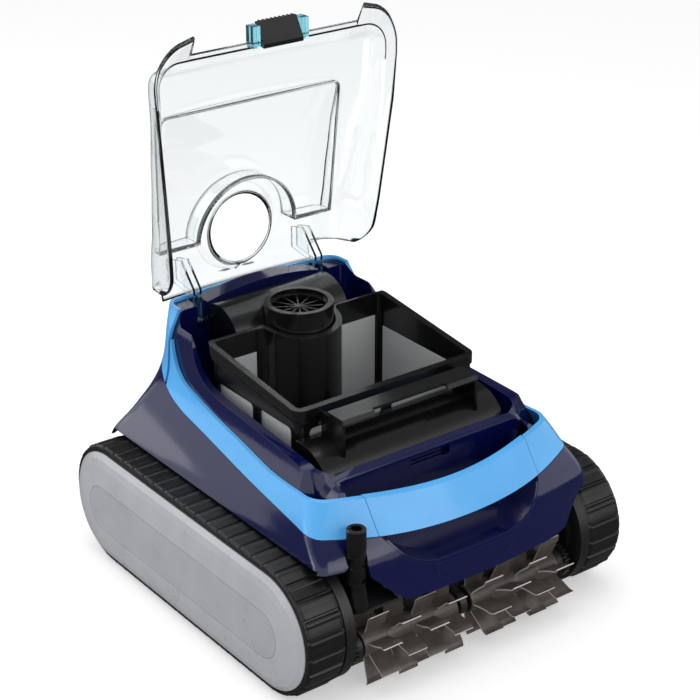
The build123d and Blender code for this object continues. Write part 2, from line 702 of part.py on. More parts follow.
def brush_gear_phase():
    """Turn of the small gear that puts its gaps opposite the large gear's teeth."""
    to_brush = atan2(brush_z - axle_z, brush_y - front_y)
    tooth_offset = (to_brush * gear_teeth / (2 * pi)) % 1.0
    return to_brush + pi + (0.5 + tooth_offset) * 2 * pi / pinion_teeth


# ---------------------------------------------------------------- hull and its side frames
def hull_block(inset):
    """Lower hull between the tracks, sloped up at both ends."""
    front, rear, low = -hull_front + inset, hull_rear - inset, hull_floor + inset
    cut = hull_chamfer - inset * 0.6
    points = [(front, hull_top - 6), (front, low + cut), (front + cut, low), (rear - cut, low),
              (rear, low + cut), (rear, hull_top - 6)]
    return side_plate(points, -hull_half + inset, hull_half - inset)


def hull():
    """Open-topped lower hull with its water inlet."""
    shell = hull_block(0) - (hull_block(wall) + Pos(0, 0, 8) * hull_block(wall))
    return shell - cuboid((-inlet_half, inlet_half), (-inlet_front, -inlet_rear), (0, 60))


def hull_flange():
    """Deck plate that closes the shell over the tracks and carries the body."""
    plate = flare(wall + side_gap) & cuboid((-300, 300), (-300, 300), (hull_top - 6, hull_top - 3))
    inside = cuboid((-hull_half + wall, hull_half - wall), (-hull_front + wall, hull_rear - wall), (0, 300))
    rest = cuboid((-hull_half, hull_half), (-hull_front, hull_rear), (hull_top - 3, hull_top - side_gap))
    coaming = (rest - inside)
    return ((plate - inside) + coaming) - recess_volume(wall + side_gap) - gland_space()


def side_frame():
    """Frame that carries both axles and reaches forward to the brush."""
    plate_x = (-frame_outer, -frame_inner)
    plate = track_block(frame_radius, *plate_x)
    spacer = cuboid((-frame_inner, -hull_half), (-hull_front + 8, rear_y), (axle_z - 20, axle_z + 20))
    arm = side_plate([(front_y, axle_z + 16), (front_y, axle_z - 22), (brush_y, brush_z - core_radius),
                      (brush_y, brush_z + core_radius)], *plate_x)
    boss = rod(core_radius, *plate_x, brush_y, brush_z)
    frame = plate + spacer + arm + boss
    for y, z in ((front_y, axle_z), (rear_y, axle_z), (brush_y, brush_z)):
        frame = frame - rod(axle_radius + axle_gap, -frame_outer - 1, -frame_inner + 1, y, z)
    return frame


def brush_bearing():
    """Arm from the hull to the bearing between the brush halves."""
    front = -hull_front
    arm = side_plate([(front, brush_z + 40), (front, brush_z + 16), (brush_y, brush_z - core_radius),
                      (brush_y, brush_z + core_radius)], -bearing_half, bearing_half)
    boss = rod(core_radius, -bearing_half, bearing_half, brush_y, brush_z)
    foot = cuboid((-bearing_half - 10, bearing_half + 10), (front - 4, front), (brush_z + 16, brush_z + 44))
    return (arm + boss + foot) - rod(axle_radius + axle_gap, -20, 20, brush_y, brush_z)


def hull_contents():
    """Tray, inlet duct, pump motor, control box and drive motors inside the hull."""
    tray = cuboid((-hull_half + wall + side_gap, hull_half - wall - side_gap),
                  (-hull_front + wall + side_gap, hull_rear - wall - side_gap), (tray_z, tray_z + wall))
    duct_hole = cuboid((-inlet_half - wall - side_gap, inlet_half + wall + side_gap),
                       (-inlet_front - wall - side_gap, -inlet_rear + wall + side_gap), (0, 200))
    tray = tray - duct_hole - post(shaft_radius + 2, 0, outlet_y, 0, 200)
    save("bay_tray", tray)
    duct = cuboid((-inlet_half - wall, inlet_half + wall), (-inlet_front - wall, -inlet_rear + wall),
                  (hull_floor + wall, canister_bottom - side_gap))
    save("inlet_duct", duct - cuboid((-inlet_half, inlet_half), (-inlet_front, -inlet_rear), (0, 200)))
    motor_top = tray_z - side_gap
    motor = post(motor_radius, 0, outlet_y, hull_floor + wall, motor_top - 6)
    motor = motor + post(shaft_radius + 4, 0, outlet_y, motor_top - 8, motor_top)
    save("pump_motor", motor - post(shaft_radius + axle_gap, 0, outlet_y, motor_top - 16, motor_top + 1))
    box = cuboid((-motor_radius - 72, -motor_radius - 12), (10, rear_y - 20), (hull_floor + wall, 92))
    save("control_box", box)
    motor_front = hull_chamfer - hull_front + 6
    case = cuboid((-hull_half + wall, -hull_half + wall + 62), (motor_front, motor_front + 44),
                  (hull_floor + wall, axle_z + 22))
    both_sides("drive_motor", case)


# ---------------------------------------------------------------- pump outlet
def pump_pieces():
    """Upright outlet with its grille and impeller, and the motor dome behind it."""
    low = tray_z + wall
    tube = post(outlet_radius, 0, outlet_y, low, outlet_top) - post(outlet_bore, 0, outlet_y, low - 1,
                                                                   outlet_top + 1)
    for turn in range(0, 180, 60):
        port = Pos(0, outlet_y, low + 13) * Rot(0, 0, turn) * Box(100, 16, 16)
        tube = tube - port
    save("pump_outlet", tube)
    grille_z = outlet_top - grille_drop
    ring = post(outlet_bore - axle_gap, 0, outlet_y, grille_z - 4, grille_z)
    ring = ring - post(outlet_bore - 2, 0, outlet_y, grille_z - 5, grille_z + 1)
    hub = post(5, 0, outlet_y, grille_z - 4, grille_z)
    length = outlet_bore - 5
    for index in range(grille_spokes):
        spoke = Rot(0, 0, index * 360 / grille_spokes) * Pos(4 + length / 2, 0, 0) * Box(length, 1.5, 3)
        ring = ring + Pos(0, outlet_y, grille_z - 2) * spoke
    save("outlet_grille", ring + hub)
    blade_z = grille_z - 22
    span = outlet_bore - impeller_gap
    wheel_part = post(9, 0, outlet_y, blade_z - 8, blade_z + 8)
    for index in range(impeller_blades):
        blade = Pos((span + 7) / 2, 0, 0) * Rot(35, 0, 0) * Box(span - 8, 18, 2)
        wheel_part = wheel_part + Pos(0, outlet_y, blade_z) * Rot(0, 0, index * 360 / impeller_blades) * blade
    tip = post(span, 0, outlet_y, blade_z - 9, blade_z + 9)
    shaft = post(shaft_radius, 0, outlet_y, tray_z - 14, blade_z + 8)
    save("impeller", (wheel_part & tip) + shaft)

    front, back = dome_y - dome_radius, bay_rear - side_gap

    def dome_block(inset):
        round_top = rod(dome_radius - inset, -dome_half + inset, dome_half - inset, dome_y, dome_z)
        trunk = cuboid((-dome_half + inset, dome_half - inset), (front + inset, back - inset),
                       (low - inset * 2, dome_z))
        keep = cuboid((-300, 300), (0, back - inset), (0, 400))
        return (round_top & keep) + trunk

    dome = dome_block(0) - dome_block(wall)
    save("motor_dome", dome - post(outlet_radius + side_gap, 0, outlet_y, low - 1, 400))


# ---------------------------------------------------------------- canister
def canister_plan(outset):
    """Plan outline of the canister, moved outwards: round corners and a bay for the outlet."""
    corners = Pos(0, (canister_rear - canister_front) / 2)
    block = corners * RectangleRounded(2 * canister_half, canister_front + canister_rear, canister_corner)
    outline = (block - Pos(0, outlet_y) * Circle(notch_radius)).face()
    horns = [corner for corner in outline.vertices() if abs(corner.X) < notch_radius + 1]
    rounded = outline.fillet_2d(notch_round, horns)
    return offset(rounded, outset) if outset else rounded


def canister_block(outset, floor, roof_drop):
    """Body of the canister, moved outwards by a wall or an overhang, up to its sloping rim."""
    return (extrude(canister_plan(outset), 400) & under_rim(roof_drop)) - cuboid((-300, 300), (-300, 300),
                                                                               (-1, floor))


def under_rim(drop):
    """Everything under the plane of the sloping rim, or under a plane below it."""
    return side_plate([(-200, -1), (-200, rim_z(-200) - drop), (200, rim_z(200) - drop), (200, -1)], -200, 200)


def side_window(side, y, z):
    """Round-cornered opening through one side wall of the canister."""
    face = RectangleRounded(y[1] - y[0], z[1] - z[0], window_radius)
    middle = Pos(side * canister_half, (y[0] + y[1]) / 2, (z[0] + z[1]) / 2)
    return middle * extrude(Plane.YZ * face, 9, both=True)


def end_window(wall_y, x, z):
    """Round-cornered opening through the front or rear wall of the canister."""
    face = RectangleRounded(x[1] - x[0], z[1] - z[0], window_radius)
    middle = Pos((x[0] + x[1]) / 2, wall_y, (z[0] + z[1]) / 2)
    return middle * extrude(Plane.XZ * face, 9, both=True)


def canister_pieces():
    """Lift-out filter canister: frame, meshes, round front, grip and inlet flap."""
    inner = canister_block(-canister_wall, canister_bottom + canister_wall, -20)
    keep = cuboid((-300, 300), (-300, canister_rear + 1.5), (0, 400))
    rim = (canister_block(rim_overhang, canister_bottom, 0) & keep) - under_rim(rim_height)
    top_face = rim.faces().sort_by(Axis.Z)[-1]
    rim = fillet(top_face.outer_wire().edges(), rim_round)
    ledge = canister_block(ledge_overhang, canister_bottom, ledge_high) & keep
    frame = canister_block(0, canister_bottom, 0) + rim + (ledge - under_rim(ledge_low))
    frame = frame - inner
    low, high = canister_bottom + 16, rim_front_z - rim_height - 14
    for side in (-1, 1):
        for window in ((-62, -8), (4, 66)):
            frame = frame - side_window(side, window, (low, high))
        frame = frame - end_window(canister_rear, sorted((side * 58, side * 98)), (low, high + 12))
        frame = frame - end_window(-canister_front, sorted((side * 6, side * 96)), (low, high))
    hole = cuboid((-inlet_half, inlet_half), (-inlet_front, -inlet_rear), (0, canister_bottom + 9))
    pivot = (-inlet_rear + 4, canister_bottom + canister_wall + 3)
    for side in (-1, 1):
        lug = cuboid(sorted((side * (inlet_half + 3.4), side * (inlet_half + 8))),
                     (pivot[0] - 4, pivot[0] + 4), (canister_bottom + 1, pivot[1] + 4))
        frame = frame + lug
    frame = frame - rod(2.08, -inlet_half - 9, inlet_half + 9, *pivot) - hole
    save("canister_frame", frame)

    inside = canister_half - canister_wall
    sheet_low, sheet_high = low - 3, high + 3
    sheet = cuboid((-inside + 0.1, -inside + 0.1 + mesh_thickness), (-66, 70), (sheet_low, sheet_high))
    both_sides("side_mesh", sheet)
    front = -canister_front + canister_wall + 0.1
    save("front_mesh", cuboid((-100, 100), (front, front + mesh_thickness), (sheet_low, sheet_high)))
    rear = canister_rear - canister_wall - 0.1
    both_sides("rear_mesh", cuboid((-101, -55), (rear - mesh_thickness, rear), (sheet_low, sheet_high + 12)))

    drum = rod(drum_radius, -canister_half - 3, canister_half + 3, -drum_y, drum_z)
    hollow = rod(drum_radius - canister_wall, -canister_half, canister_half, -drum_y, drum_z)
    ahead = cuboid((-300, 300), (-300, -canister_front - 0.1), (0, 400))
    drum = (drum - hollow) & ahead
    rim_block = canister_block(rim_overhang + 0.4, 0, -30) - under_rim(ledge_low + 0.4)
    drum = drum - rim_block
    save("canister_drum", drum)

    grip = side_plate([(-grip_rear, grip_z), (-grip_front, grip_z), (-grip_front - 1.5, grip_z - 5),
                       (-grip_front + 1.5, grip_z - 5), (-grip_front + 2, grip_z - grip_thickness),
                       (-grip_rear, grip_z - grip_thickness)], -grip_half, grip_half)
    step = cuboid((-46, 46), (-grip_front - 9, -grip_front + 5), (grip_z - 9, grip_z + 9))
    gusset = [(-canister_front - rim_overhang - 0.3, grip_z - 4), (-grip_front, grip_z - 2),
              (-grip_front - 2, grip_z - 45), (-canister_front - rim_overhang - 0.3, grip_z - 40)]
    grip = grip - step
    for side in (-1, 1):
        ends = sorted((side * grip_half, side * (grip_half - 3)))
        grip = grip + side_plate(gusset, *ends)
    save("canister_grip", grip - rod(drum_radius + 0.3, -200, 200, -drum_y, drum_z))

    flap_z = canister_bottom + canister_wall + 0.3
    flap = cuboid((-inlet_half - 2.5, inlet_half + 2.5), (-inlet_front - 3, pivot[0]),
                  (flap_z, flap_z + flap_thickness))
    save("inlet_flap", flap + rod(2, -inlet_half - 7.5, inlet_half + 7.5, *pivot))


# ---------------------------------------------------------------- cable gland
def gland_pieces():
    """Upright strain relief with an open top, on its shelf beside the brush."""
    foot = gland_radius + gland_flange
    shelf = cuboid((gland_x - foot, -87), (gland_y - 11, gland_y + foot + 3), (shelf_z, shelf_z + wall))
    shelf = shelf + cuboid((side_gap - frame_inner, -87), (gland_y, -hull_front), (shelf_z, shelf_z + wall))
    save("gland_shelf", shelf)
    base = shelf_z + wall
    profile = [(gland_bore, base), (foot, base), (foot, base + 6),
               (gland_radius - 0.5, base + 22), (gland_radius - 1.5, gland_top - 34),
               (gland_radius, gland_top - 28), (gland_radius, gland_top - 1), (gland_radius - 1, gland_top),
               (gland_bore, gland_top)]
    outline = Plane.XZ * make_face(Polyline(*profile, close=True))
    gland = revolve(outline, Axis.Z)
    for z in (gland_top - 55, gland_top - 39, gland_top - 25):
        for turn in (0, 90, 180, 270):
            slot = Pos(0, 0, z) * Rot(0, 0, turn + 35) * Pos(gland_radius, 0, 0) * Box(5, 14, 5)
            gland = gland - slot
    save("cable_gland", Pos(gland_x, gland_y, 0) * gland)


def build():
    """Write every node."""
    os.makedirs("parts", exist_ok=True)
    body = flare(0)
    belts(body, flare(belt_wall))
    shell_pieces(body)
    deck_pieces()
    lid_pieces(body)
    both_sides("track_belt", track_belt())
    both_sides("front_wheel", wheel(front_y))
    both_sides("rear_wheel", wheel(rear_y))
    both_sides("front_axle", axle(front_y))
    both_sides("rear_axle", axle(rear_y))
    both_sides("side_cover", side_cover())
    both_sides("side_inlay", side_inlay())
    both_sides("drive_gear", drive_gear())
    both_sides("brush_gear", brush_gear())
    both_sides("brush_core", brush_core())
    both_sides("brush_blades", brush_blades())
    both_sides("side_frame", side_frame())
    save("hull", hull())
    save("hull_flange", hull_flange())
    save("brush_bearing", brush_bearing())
    hull_contents()
    pump_pieces()
    canister_pieces()
    gland_pieces()


build()
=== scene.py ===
# %% [markdown]
# A tracked pool-cleaning robot, dressed for a studio picture. The solids come ready made, in metres,
# with +Z up and the brush end towards -Y. This lesson gives them their finishes and makes the pieces
# whose looks need more than a plain solid: the soft brush, the clear lid and the ribbed treads.

# %% Load the solids
import math
import bmesh
import bpy
import numpy as np
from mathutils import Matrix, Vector


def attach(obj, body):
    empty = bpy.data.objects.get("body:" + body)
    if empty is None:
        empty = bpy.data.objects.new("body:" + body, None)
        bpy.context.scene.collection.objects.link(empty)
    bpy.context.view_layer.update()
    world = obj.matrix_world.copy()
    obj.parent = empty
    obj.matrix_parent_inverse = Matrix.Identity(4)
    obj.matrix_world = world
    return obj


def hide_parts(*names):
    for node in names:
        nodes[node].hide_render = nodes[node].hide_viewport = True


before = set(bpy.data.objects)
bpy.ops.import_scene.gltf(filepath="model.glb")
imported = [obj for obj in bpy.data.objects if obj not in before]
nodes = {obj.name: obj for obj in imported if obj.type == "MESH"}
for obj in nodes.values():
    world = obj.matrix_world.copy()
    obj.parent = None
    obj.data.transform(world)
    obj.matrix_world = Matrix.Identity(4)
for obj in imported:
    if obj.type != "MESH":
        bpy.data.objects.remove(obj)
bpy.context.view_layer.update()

# %% [markdown]
# Colours are written as sRGB hex, which is how a paint chart gives them. Shaders work in linear light,
# so one function turns hex to linear. A second one adds a node with its settings and its links.

# %% Helpers for colour and nodes
def linear(code):
    """sRGB hex to linear RGBA: the standard curve, below and above its knee."""
    value = np.array([int(code[i:i + 2], 16) / 255 for i in (1, 3, 5)])
    curve = np.where(value <= 0.04045, value / 12.92, ((value + 0.055) / 1.055) ** 2.4)
    return (*curve.tolist(), 1.0)


def add_node(tree, kind, settings=None, **links):
    """Adds a node, sets its properties and inputs, and links the inputs that are given as sockets."""
    node = tree.nodes.new(kind)
    for name, value in (settings or {}).items():
        if hasattr(node, name):
            setattr(node, name, value)
        else:
            node.inputs[name].default_value = value
    for name, socket in links.items():
        tree.links.new(socket, node.inputs[name.replace("_", " ")])
    return node


def new_material(name):
    """Empty node material with a Principled shader joined to its output."""
    material = bpy.data.materials.new(name)
    material.use_nodes = True
    tree = material.node_tree
    tree.nodes.clear()
    shader = add_node(tree, "ShaderNodeBsdfPrincipled")
    output = add_node(tree, "ShaderNodeOutputMaterial")
    tree.links.new(shader.outputs["BSDF"], output.inputs["Surface"])
    return material, tree, shader


def set_shader(shader, **values):
    """Constants go straight on the shader's own sockets."""
    for name, value in values.items():
        shader.inputs[name.replace("_", " ")].default_value = value


def object_noise(tree, size_mm, detail):
    """Noise on Object coordinates whose blotches are about size_mm across."""
    place = add_node(tree, "ShaderNodeTexCoord")
    return add_node(tree, "ShaderNodeTexNoise", {"Scale": 1000 / size_mm, "Detail": detail},
                    Vector=place.outputs["Object"])


print("white is", linear("#ffffff"))

# %% [markdown]
# Injection-moulded plastic is never quite flat: the tool's surface leaves a fine texture, and large
# panels cool with a slight waviness. Both are bumps of noise, one a fraction of a millimetre across and
# one of centimetres. Roughness varies a little with the same noise, as handling marks do. No moulded
# edge is sharp either, so the shading normal is turned over the last half millimetre before each edge,
# which gives the thin line of light that a rounded edge has.

# %% A moulded plastic, glossy or satin
def painted_edge_shade_mask(tree, edge_mm):
    """1 at a sharp edge, 0 a radius away: how far the rounded normal is turned from the true one."""
    rounded = add_node(tree, "ShaderNodeBevel", {"samples": 6, "Radius": edge_mm / 1000})
    shape = add_node(tree, "ShaderNodeNewGeometry")
    alike = add_node(tree, "ShaderNodeVectorMath", {"operation": "DOT_PRODUCT"})
    tree.links.new(rounded.outputs["Normal"], alike.inputs[0])
    tree.links.new(shape.outputs["True Normal"], alike.inputs[1])
    mask = add_node(tree, "ShaderNodeMapRange", {"From Min": 0.98, "From Max": 0.8, "To Min": 0.0,
                                                 "To Max": 1.0}, Value=alike.outputs["Value"])
    return mask.outputs["Result"]


colour_a, colour_b, mixed_colour = 6, 7, 2      # a colour Mix node's sockets, whose names repeat


def towards_painted_edge_shade(tree, edge_mm, inner, painted_edge_shade):
    """Mix node that paints shade at sharp edges in the given edge colour; inner is a colour or a socket.
    """
    lined = add_node(tree, "ShaderNodeMix", {"data_type": "RGBA"})
    tree.links.new(painted_edge_shade_mask(tree, edge_mm), lined.inputs["Factor"])
    if isinstance(inner, tuple):
        lined.inputs[colour_a].default_value = inner
    else:
        tree.links.new(inner, lined.inputs[colour_a])
    lined.inputs[colour_b].default_value = linear(painted_edge_shade)
    return lined.outputs[mixed_colour]


def moulded(name, colour, roughness, grain_mm, grain_height_mm, wave_height_mm=0.0, coat=0.0,
            speckle=0.04, edge_mm=0.6, painted_edge_shade=None):
    """Plastic with grain_mm between the bumps of its tool texture and a slow waviness of 60 mm.

    Its colour varies by the share speckle, and an edge colour, if given, is painted shade over its sharp
    edges.
    """
    material, tree, shader = new_material(name)
    rounded = add_node(tree, "ShaderNodeBevel", {"samples": 4, "Radius": edge_mm / 1000})
    grain = object_noise(tree, grain_mm, 3.0)
    wave = object_noise(tree, 60, 1.0)
    handling = object_noise(tree, 35, 4.0)
    base = linear(colour)
    darker = tuple(c * (1 - speckle) for c in base[:3]) + (1.0,)
    lighter = tuple(min(c * (1 + speckle), 1) for c in base[:3]) + (1.0,)
    tint = add_node(tree, "ShaderNodeValToRGB", Fac=handling.outputs["Fac"])
    tint.color_ramp.elements[0].color = darker
    tint.color_ramp.elements[0].position = 0.35
    tint.color_ramp.elements[1].color = lighter
    tint.color_ramp.elements[1].position = 0.65
    shown = tint.outputs["Color"]
    if painted_edge_shade:
        shown = towards_painted_edge_shade(tree, edge_mm, shown, painted_edge_shade)
    tree.links.new(shown, shader.inputs["Base Color"])
    rough = add_node(tree, "ShaderNodeMapRange", {"To Min": roughness * 0.8, "To Max": roughness * 1.25},
                     Value=handling.outputs["Fac"])
    tree.links.new(rough.outputs["Result"], shader.inputs["Roughness"])
    waviness = add_node(tree, "ShaderNodeBump", {"Strength": 1.0, "Distance": wave_height_mm / 1000},
                        Height=wave.outputs["Fac"], Normal=rounded.outputs["Normal"])
    bump = add_node(tree, "ShaderNodeBump", {"Strength": 0.6, "Distance": grain_height_mm / 1000},
                    Height=grain.outputs["Fac"], Normal=waviness.outputs["Normal"])
    tree.links.new(bump.outputs["Normal"], shader.inputs["Normal"])
    set_shader(shader, IOR=1.5, Coat_Weight=coat, Coat_Roughness=0.05)
    return material


navy = moulded("glossy_abs_navy", "#080f45", 0.14, 2.5, 0.004, wave_height_mm=0.05, coat=0.3)
light_blue = moulded("glossy_abs_light_blue", "#5cb8ff", 0.18, 2.5, 0.004, wave_height_mm=0.04, coat=0.2)
black_satin = moulded("satin_polypropylene_black", "#0f0f10", 0.22, 1.2, 0.010, wave_height_mm=0.08,
                      coat=0.2)
dark_grey = moulded("matt_abs_dark_grey", "#26272a", 0.45, 1.2, 0.02)
cover_grey = moulded("satin_painted_abs_grey", "#b9babf", 0.28, 0.9, 0.004, wave_height_mm=0.03, coat=0.3)
# The inlay's sharp edges are darkened with painted shade, for the shadow in the seam between it and the
# cover.
inlay_grey = moulded("satin_painted_abs_inlay", "#b2b3b9", 0.28, 0.9, 0.004, wave_height_mm=0.03,
                     coat=0.3, edge_mm=0.7, painted_edge_shade="#3a3b3f")
wheel_black = moulded("glass_filled_nylon_black", "#1b1b1d", 0.38, 1.0, 0.02)
print("plastics:", [m.name for m in (navy, light_blue, black_satin, cover_grey)])

# %% [markdown]
# Rubber is the dullest finish here: a dark base, a rough surface and a grain from its mould. The soft
# brush is a smoky elastomer that lets a little light through, with a painted highlight on its thin
# edges. The canister's screens are a woven fabric whose threads are about a millimetre apart, drawn
# as a grid of fine bumps.

# %% Rubber, brush elastomer, screens and metal
def rubber(name, colour, roughness):
    """Moulded rubber: fine grain and a slightly dusty variation."""
    return moulded(name, colour, roughness, 0.9, 0.03, speckle=0.18)


tread_rubber = rubber("moulded_rubber_black", "#121213", 0.36)
gland_rubber = rubber("moulded_rubber_gland", "#131110", 0.22)


def smoky_elastomer(name, low, high, through):
    """Brush material: a cloudy grey-brown that lets a share of the light through."""
    material, tree, shader = new_material(name)
    cloud = object_noise(tree, 18, 3.0)
    tint = add_node(tree, "ShaderNodeValToRGB", Fac=cloud.outputs["Fac"])
    tint.color_ramp.elements[0].color = linear(low)
    tint.color_ramp.elements[1].color = linear(high)
    tree.links.new(tint.outputs["Color"], shader.inputs["Base Color"])
    bump = add_node(tree, "ShaderNodeBump", {"Strength": 0.4, "Distance": 0.0004},
                    Height=cloud.outputs["Fac"])
    tree.links.new(bump.outputs["Normal"], shader.inputs["Normal"])
    set_shader(shader, Roughness=0.25, IOR=1.45, Transmission_Weight=through)
    return material


def woven_screen():
    """Filter fabric: threads 1.2 mm apart both ways, from two sine bands crossed."""
    material, tree, shader = new_material("woven_polyester_screen")
    place = add_node(tree, "ShaderNodeTexCoord")
    split = add_node(tree, "ShaderNodeSeparateXYZ", Vector=place.outputs["Object"])
    thread = 2 * math.pi * 1000 / 1.2
    along = add_node(tree, "ShaderNodeMath", {"operation": "ADD"})
    tree.links.new(split.outputs["X"], along.inputs[0])
    tree.links.new(split.outputs["Y"], along.inputs[1])
    waves = []
    for socket in (along.outputs[0], split.outputs["Z"]):
        turn = add_node(tree, "ShaderNodeMath", {"operation": "MULTIPLY"})
        tree.links.new(socket, turn.inputs[0])
        turn.inputs[1].default_value = thread
        wave = add_node(tree, "ShaderNodeMath", {"operation": "SINE"})
        tree.links.new(turn.outputs[0], wave.inputs[0])
        waves.append(wave)
    weave = add_node(tree, "ShaderNodeMath", {"operation": "MAXIMUM"})
    tree.links.new(waves[0].outputs[0], weave.inputs[0])
    tree.links.new(waves[1].outputs[0], weave.inputs[1])
    tint = add_node(tree, "ShaderNodeValToRGB", Fac=weave.outputs[0])
    tint.color_ramp.elements[0].color = linear("#a9abac")
    tint.color_ramp.elements[1].color = linear("#dfe1e2")
    tree.links.new(tint.outputs["Color"], shader.inputs["Base Color"])
    bump = add_node(tree, "ShaderNodeBump", {"Strength": 0.5, "Distance": 0.0002},
                    Height=weave.outputs[0])
    tree.links.new(bump.outputs["Normal"], shader.inputs["Normal"])
    set_shader(shader, Roughness=0.75)
    return material


def turned_steel():
    """Stainless steel from a lathe: fine rings across the bar, about 0.3 mm apart."""
    material, tree, shader = new_material("turned_stainless_steel")
    place = add_node(tree, "ShaderNodeTexCoord")
    waves_per_scale = 20
    rings = add_node(tree, "ShaderNodeTexWave", {"Scale": 1000 / 0.3 / waves_per_scale, "Distortion": 1.0},
                     Vector=place.outputs["Object"])
    rough = add_node(tree, "ShaderNodeMapRange", {"To Min": 0.22, "To Max": 0.38},
                     Value=rings.outputs["Fac"])
    tree.links.new(rough.outputs["Result"], shader.inputs["Roughness"])
    set_shader(shader, Base_Color=linear("#b9bcc0"), Metallic=1.0)
    return material


brush_tpu = smoky_elastomer("moulded_tpu_smoky", "#4e4744", "#837a75", 0.3)
# The rim colour is near white: a painted highlight for the light that shines through the thin plastic.
painted_rim_highlight = smoky_elastomer("moulded_tpu_painted_rim_highlight", "#d8d3cf", "#f2efec", 0.2)
screen = woven_screen()
steel = turned_steel()
print("soft finishes ready")

# %% [markdown]
# The lid and the latch's housing are clear polycarbonate. Seen flat it is nearly invisible, and what
# the eye reads are its cut edges, which gather and trap light and look dark grey. So the sheet is a
# clear glass-like plastic with a faint cool tint, and painted shade turns it dark grey over the last
# millimetre before each edge. The small latch housing is the same plastic with a teal tint and dark teal
# painted shade at its edges.

# %% Clear polycarbonate and the painted shade at its edges
def clear_plastic(name, colour, painted_edge_shade, roughness):
    """Polycarbonate: IOR 1.58, all light through, a faint tint, and painted shade that darkens its cut
    edges.
    """
    material, tree, shader = new_material(name)
    flow = object_noise(tree, 45, 1.0)
    bump = add_node(tree, "ShaderNodeBump", {"Strength": 0.5, "Distance": 0.0002},
                    Height=flow.outputs["Fac"])
    tree.links.new(bump.outputs["Normal"], shader.inputs["Normal"])
    tree.links.new(towards_painted_edge_shade(tree, 1.4, linear(colour), painted_edge_shade), shader.inputs["Base Color"])
    set_shader(shader, Roughness=roughness, IOR=1.58, Transmission_Weight=1.0)
    return material


# The second colour of each is painted shade for the dark look of the cut edges.
clear = clear_plastic("clear_polycarbonate", "#f6f9fa", "#3d4145", 0.015)
teal = clear_plastic("tinted_polycarbonate_teal", "#8fd3e2", "#2f6f86", 0.05)
print("clear finishes ready")

# %% [markdown]
# Every solid that keeps its own mesh gets its finish by its name. A moulded shell, a rubber track and
# a steel pin come from different processes, so the table is sorted by process, and a solid that is
# missing from it would be an error.

# %% Finishes of the solids
finishes = {
    navy: ["body_shell", "handle_recess", "top_deck", "front_cover"],
    light_blue: ["left_accent_belt", "right_accent_belt", "rear_band", "front_handle"],
    black_satin: ["canister_frame", "canister_drum", "canister_grip", "pump_outlet",
                  "outlet_grille", "motor_dome", "lid_latch", "inlet_flap", "bay_tray"],
    dark_grey: ["hull", "hull_flange", "inlet_duct", "left_side_frame", "right_side_frame",
                "brush_bearing", "gland_shelf", "control_box", "pump_motor", "left_drive_motor",
                "right_drive_motor", "impeller"],
    cover_grey: ["left_side_cover", "right_side_cover"],
    inlay_grey: ["left_side_inlay", "right_side_inlay"],
    wheel_black: ["left_front_wheel", "right_front_wheel", "left_rear_wheel", "right_rear_wheel",
                  "left_brush_core", "right_brush_core", "left_brush_gear", "right_brush_gear",
                  "left_drive_gear", "right_drive_gear"],
    tread_rubber: ["left_track_belt", "right_track_belt"],
    gland_rubber: ["cable_gland"],
    brush_tpu: ["left_brush_blades", "right_brush_blades"],
    screen: ["left_side_mesh", "right_side_mesh", "front_mesh", "left_rear_mesh", "right_rear_mesh"],
    steel: ["hinge_pins", "left_front_axle", "right_front_axle", "left_rear_axle", "right_rear_axle"],
    clear: ["lid"],
    teal: ["latch_housing"],
}
for material, names in finishes.items():
    for name in names:
        slots = nodes[name].data.materials
        slots.clear()
        slots.append(material)
unfinished = sorted(set(nodes) - {name for names in finishes.values() for name in names})
assert not unfinished, unfinished
print("finished solids:", len(nodes))

# %% [markdown]
# The scrubbing brush is a soft sleeve with short paddles in rows, each row turned by half a step from
# the next. On the real machine it is moulded in one piece and pushed on its core. A paddle is a thin
# skewed tongue whose tip turns back as a short lip. All paddles are one set of arrays, front face and
# back face, joined by strips round their rims. The rims are painted near white, a painted highlight
# for the light that the smoky plastic lets through where it is thin.

# %% Paddles of the brush
def closed_sheets(front, back):
    """Mesh arrays of many closed sheets from their front and back grids, shaped (sheet, i, j, 3)."""
    count, rows, columns, _ = front.shape
    size = rows * columns
    points = np.stack([front, back], axis=1).reshape(-1, 3)
    index = np.arange(size).reshape(rows, columns)
    face = grid_faces(rows, columns)
    loop = np.concatenate([index[0, :-1], index[:-1, -1], index[-1, :0:-1], index[:0:-1, 0]])
    following = np.roll(loop, -1)
    rim = np.stack([loop, following, following + size, loop + size], axis=-1)
    sheet = np.concatenate([face, face[:, ::-1] + size, rim[:, ::-1]])
    faces = (sheet[None] + (np.arange(count) * 2 * size)[:, None, None]).reshape(-1, 4)
    on_rim = np.tile(np.arange(len(sheet)) >= 2 * len(face), count)
    return points, faces, on_rim


def place_mesh(name, points, faces, materials, which=None):
    """Object at the origin with these points in metres, its faces turned outwards."""
    mesh = bpy.data.meshes.new(name)
    mesh.from_pydata(points.tolist(), [], [list(map(int, face)) for face in faces])
    for material in materials:
        mesh.materials.append(material)
    if which is not None:
        mesh.polygons.foreach_set("material_index", which.astype(np.int32))
    piece = bpy.data.objects.new(name, mesh)
    bpy.context.collection.objects.link(piece)
    cleaned = bmesh.new()
    cleaned.from_mesh(mesh)
    bmesh.ops.remove_doubles(cleaned, verts=cleaned.verts, dist=1e-6)
    bmesh.ops.recalc_face_normals(cleaned, faces=cleaned.faces)
    cleaned.to_mesh(mesh)
    cleaned.free()
    mesh.shade_smooth()
    mesh.set_sharp_from_angle(angle=math.radians(35))
    return piece


def grid_faces(rows, columns):
    """Quads of an open grid."""
    index = np.arange(rows * columns).reshape(rows, columns)
    face = np.stack([index[:-1, :-1], index[1:, :-1], index[1:, 1:], index[:-1, 1:]], axis=-1)
    return face.reshape(-1, 4)


